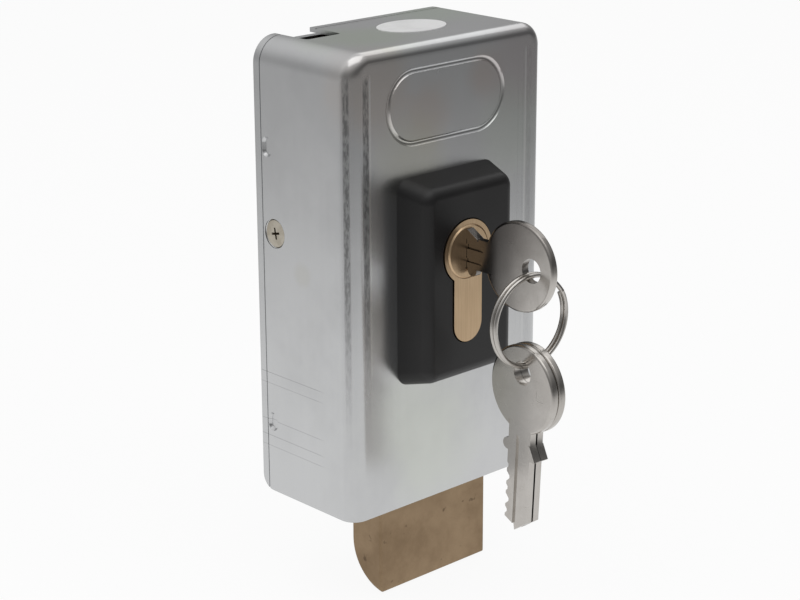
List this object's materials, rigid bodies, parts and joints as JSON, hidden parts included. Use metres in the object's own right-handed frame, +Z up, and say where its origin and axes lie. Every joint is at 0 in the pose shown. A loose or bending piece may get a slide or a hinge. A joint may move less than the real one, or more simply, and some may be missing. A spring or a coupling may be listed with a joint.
{
  "type": "electric gate lock",
  "caption": "Surface-mounted electric lock for a gate: a steel case with a sprung brass bolt leaving its base, a solenoid, a profile cylinder with its key, and spare keys on a split ring.",
  "frame": {"origin": "centre of the mounting face, the back plate's rear", "axes": "+Z up along the case, with the bolt leaving at the bottom; front towards -Y; mounting face towards +Y"},
  "size_m": [0.07, 0.0801, 0.1507],
  "materials": {
    "zinc_steel": "satin zinc plate",
    "inner_steel": "zinc plate",
    "screw_steel": "zinc plate",
    "spring_steel": "plain",
    "black_moulding": "smooth",
    "white_moulding": "smooth",
    "white_sticker": "smooth",
    "cylinder_brass": "satin",
    "bolt_brass": "satin",
    "nickel_plate": "nickel plate",
    "copper_winding": "enamelled winding"
  },
  "bodies": {
    "case": {"front_cover": "zinc_steel", "back_plate": "zinc_steel", "cover_screws": "screw_steel", "cylinder_surround": "black_moulding", "surround_screws": "screw_steel", "cylinder_body": "cylinder_brass", "cylinder_screw": "screw_steel", "driver_pins": "cylinder_brass", "chamber_closers": "cylinder_brass", "bolt_guide": "inner_steel", "guide_screws": "screw_steel", "cylinder_bracket": "inner_steel", "bracket_screws": "screw_steel", "spring_rods": "inner_steel", "return_springs": "spring_steel", "solenoid_frame": "inner_steel", "solenoid_bobbin": "white_moulding", "solenoid_coil": "copper_winding", "solenoid_pole": "inner_steel", "solenoid_screws": "screw_steel", "terminal_block": "white_moulding", "terminal_screws": "screw_steel", "terminal_fixing_screw": "screw_steel", "top_sticker": "white_sticker"},
    "bolt": {"latch_bolt": "bolt_brass", "bolt_carriage": "inner_steel", "carriage_screws": "screw_steel", "solenoid_plunger": "inner_steel", "plunger_pin": "inner_steel"},
    "key_plug": {"cylinder_plug": "cylinder_brass", "cylinder_cam": "inner_steel", "plug_clip": "inner_steel", "key_pins": "cylinder_brass", "key_in_lock": "nickel_plate"},
    "ring": {"key_ring": "nickel_plate"},
    "spare_1": {"spare_key_1": "nickel_plate"},
    "spare_2": {"spare_key_2": "nickel_plate"}
  },
  "joints": [
    {"name": "bolt_slide", "type": "slide", "parent": "case", "child": "bolt", "axis": [0, 0, 1], "range_m": [0, 0.016], "stiffness_N_per_m": 400, "springref_m": -0.015, "deforming": ["return_springs"]},
    {"name": "key_turn", "type": "hinge", "parent": "case", "child": "key_plug", "pos_m": [-0.0027, -0.04, 0.0082], "axis": [0, -1, 0], "range_deg": [0, 76.06]},
    {"name": "ring_swing", "type": "hinge", "parent": "key_plug", "child": "ring", "pos_m": [-0.0031, -0.0684, 0.00676], "axis": [0.9966, -0.0819, 0], "range_deg": [-80, 12]},
    {"name": "spare_key_1_swing", "type": "hinge", "parent": "ring", "child": "spare_1", "pos_m": [-0.0041, -0.06832, -0.01704], "axis": [0.9966, -0.0819, 0], "range_deg": [-30, 18]},
    {"name": "spare_key_2_swing", "type": "hinge", "parent": "ring", "child": "spare_2", "pos_m": [-0.0018, -0.06851, -0.01704], "axis": [0.9966, -0.0819, 0], "range_deg": [-30, 18]}
  ],
  "couplings": [
    {"joint": "key_turn", "follows": "bolt_slide", "rad_per_m": 82.859}
  ]
}
